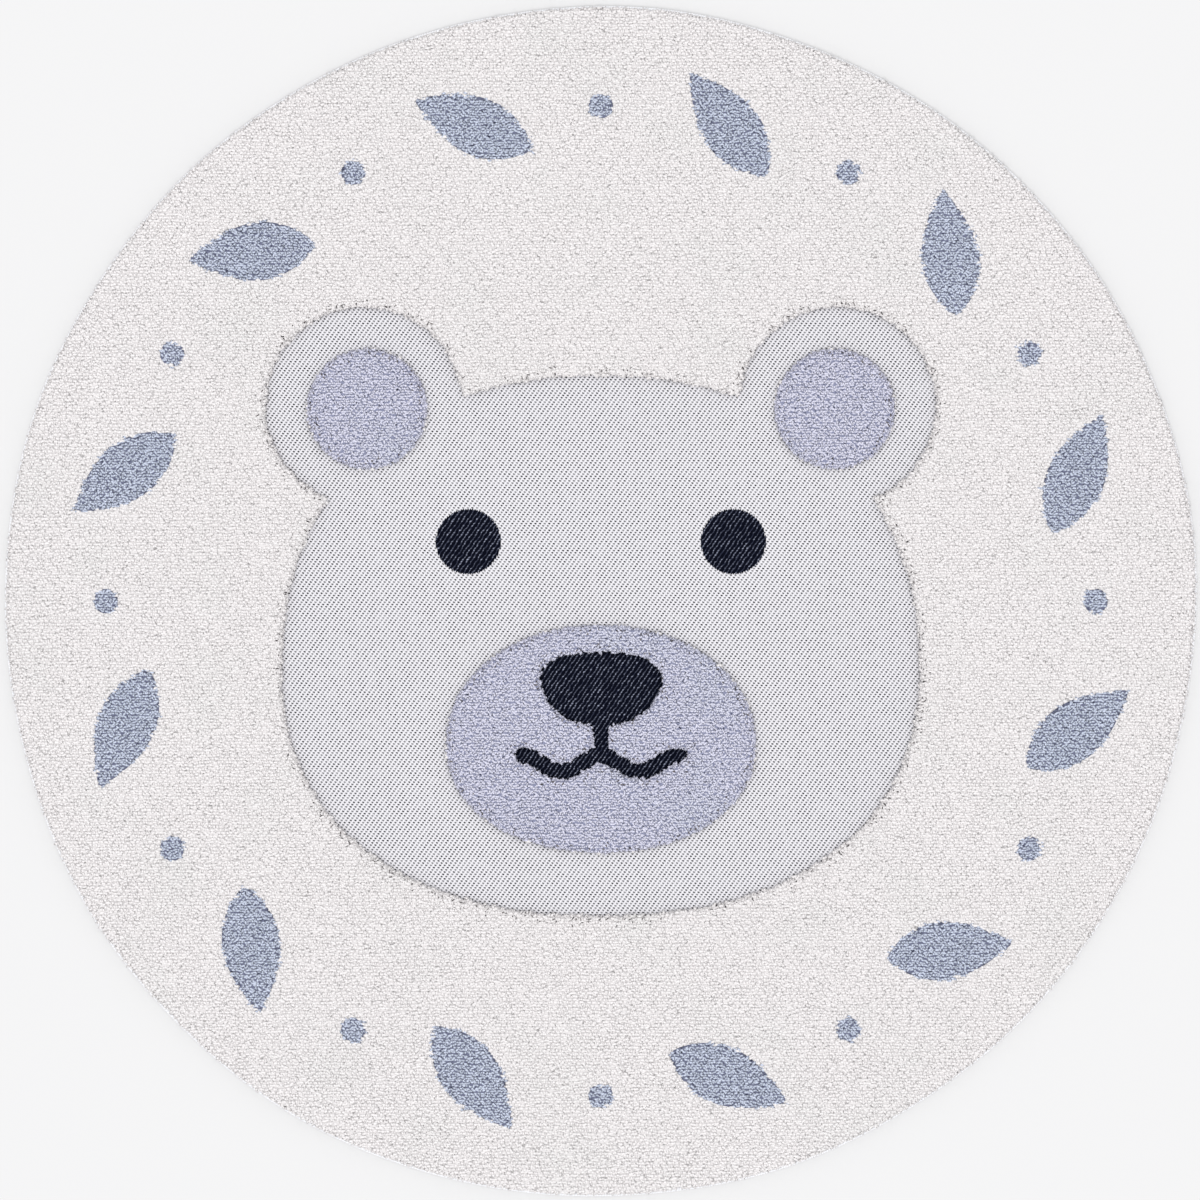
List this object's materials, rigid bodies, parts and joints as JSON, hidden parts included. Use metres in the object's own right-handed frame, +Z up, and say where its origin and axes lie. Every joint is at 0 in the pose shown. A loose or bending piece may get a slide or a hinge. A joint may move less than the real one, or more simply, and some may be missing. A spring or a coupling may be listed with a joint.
{
  "type": "round animal face rug",
  "caption": "Round kids' rug with an animal's face: curly cut pile round a sunken flatwoven head with a raised muzzle and raised ear insides, and an oversewn edge.",
  "frame": {"origin": "middle of the underside, at floor level", "axes": "+Z up out of the pile, +Y to the top of the face, +X to the viewer's right from above"},
  "size_m": [1.6012, 1.5988, 0.012],
  "materials": {
    "cream_pile": "curly cut pile, matt",
    "edge_yarn": "oversewn yarn, faint sheen"
  },
  "bodies": {
    "root": {"woven_rug": "cream_pile", "edge_binding": "edge_yarn"}
  },
  "joints": []
}
